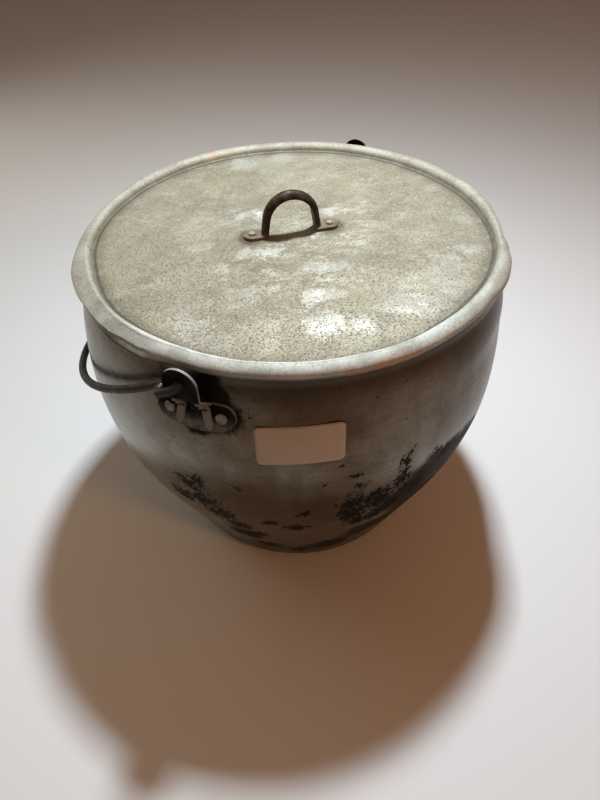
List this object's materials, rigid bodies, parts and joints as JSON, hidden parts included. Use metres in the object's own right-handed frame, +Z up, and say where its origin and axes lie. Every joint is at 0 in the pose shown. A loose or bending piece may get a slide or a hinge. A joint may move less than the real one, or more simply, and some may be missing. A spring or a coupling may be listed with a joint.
{
  "type": "stockpot",
  "caption": "Bellied aluminium stockpot with a lift-off beaded lid, a riveted lid handle and a wire bail that swings in riveted ears.",
  "frame": {"origin": "middle of the flat base, on the floor", "axes": "+Z up; the ears and the bail's pivots lie on X; the bail hangs towards -Y"},
  "size_m": [0.2944, 0.2779, 0.2546],
  "materials": {
    "pot_aluminium": "satin, worn, soot-marked",
    "lid_aluminium": "dull, dented, rubbed bright in places",
    "ear_metal": "sooty, bright on the edges",
    "rivet_metal": "satin",
    "bail_wire": "dull, browned",
    "handle_steel": "dark brown, rubbed",
    "label_paper": "matt, slightly dirty"
  },
  "bodies": {
    "pot": {"pot_shell": "pot_aluminium", "ear_a": "ear_metal", "ear_b": "ear_metal", "ear_rivet_a1": "rivet_metal", "ear_rivet_a2": "rivet_metal", "ear_rivet_b1": "rivet_metal", "ear_rivet_b2": "rivet_metal"},
    "bail": {"bail": "bail_wire"},
    "lid": {"lid_shell": "lid_aluminium", "lid_handle": "handle_steel", "lid_rivet_a": "rivet_metal", "lid_rivet_b": "rivet_metal"}
  },
  "joints": [
    {"name": "bail_swing", "type": "hinge", "parent": "pot", "child": "bail", "pos_m": [0, 0, 0.224], "axis": [-1, 0, 0], "range_deg": [0, 236]},
    {"name": "lid_lift", "type": "slide", "parent": "pot", "child": "lid", "axis": [0, 0, 1], "range_m": [0, 0.15]}
  ]
}
